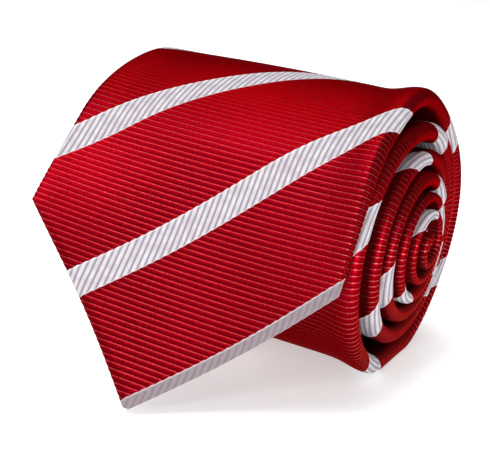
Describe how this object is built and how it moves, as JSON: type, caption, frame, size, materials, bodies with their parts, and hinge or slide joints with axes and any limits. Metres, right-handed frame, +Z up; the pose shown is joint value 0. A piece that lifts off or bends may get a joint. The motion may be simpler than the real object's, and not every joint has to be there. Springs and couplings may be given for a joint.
{
  "type": "rolled necktie",
  "caption": "Striped necktie folded in half and rolled up from the fold, lying on its side with the pointed free end leaning down over the front.",
  "frame": {"origin": "centre of the bounding box's bottom face, on the surface the roll rests on", "axes": "X along the roll's axis with +X at the end where the coil shows and the core stands proud, -Y towards the free pointed end, +Z up"},
  "size_m": [0.0926, 0.1142, 0.0767],
  "materials": {
    "striped_satin": "satin",
    "interlining": "matte",
    "lining": "satin",
    "label": "satin",
    "thread": "matte"
  },
  "bodies": {
    "roll": {"blade_shell_roll": "striped_satin", "neck_shell": "striped_satin", "tail_shell": "striped_satin", "interlining_roll": "interlining", "tail_tipping": "lining", "tail_bar_tack": "thread", "slip_stitch": "thread"},
    "cover": {"blade_shell_cover": "striped_satin", "interlining_cover": "interlining", "tipping_cover": "lining", "keeper_loop": "striped_satin", "brand_label": "label", "care_label": "label", "blade_bar_tack": "thread"},
    "free_end": {"blade_shell_free": "striped_satin", "interlining_free": "interlining", "tipping_free": "lining"}
  },
  "joints": [
    {"name": "cover_open", "type": "hinge", "parent": "roll", "child": "cover", "pos_m": [0, 0.05187, 0.01755], "axis": [-1, 0, 0], "range_deg": [0, 80]},
    {"name": "free_end_lift", "type": "hinge", "parent": "cover", "child": "free_end", "pos_m": [0, -0.01992, 0.059], "axis": [-1, 0, 0], "range_deg": [0, 110]}
  ]
}
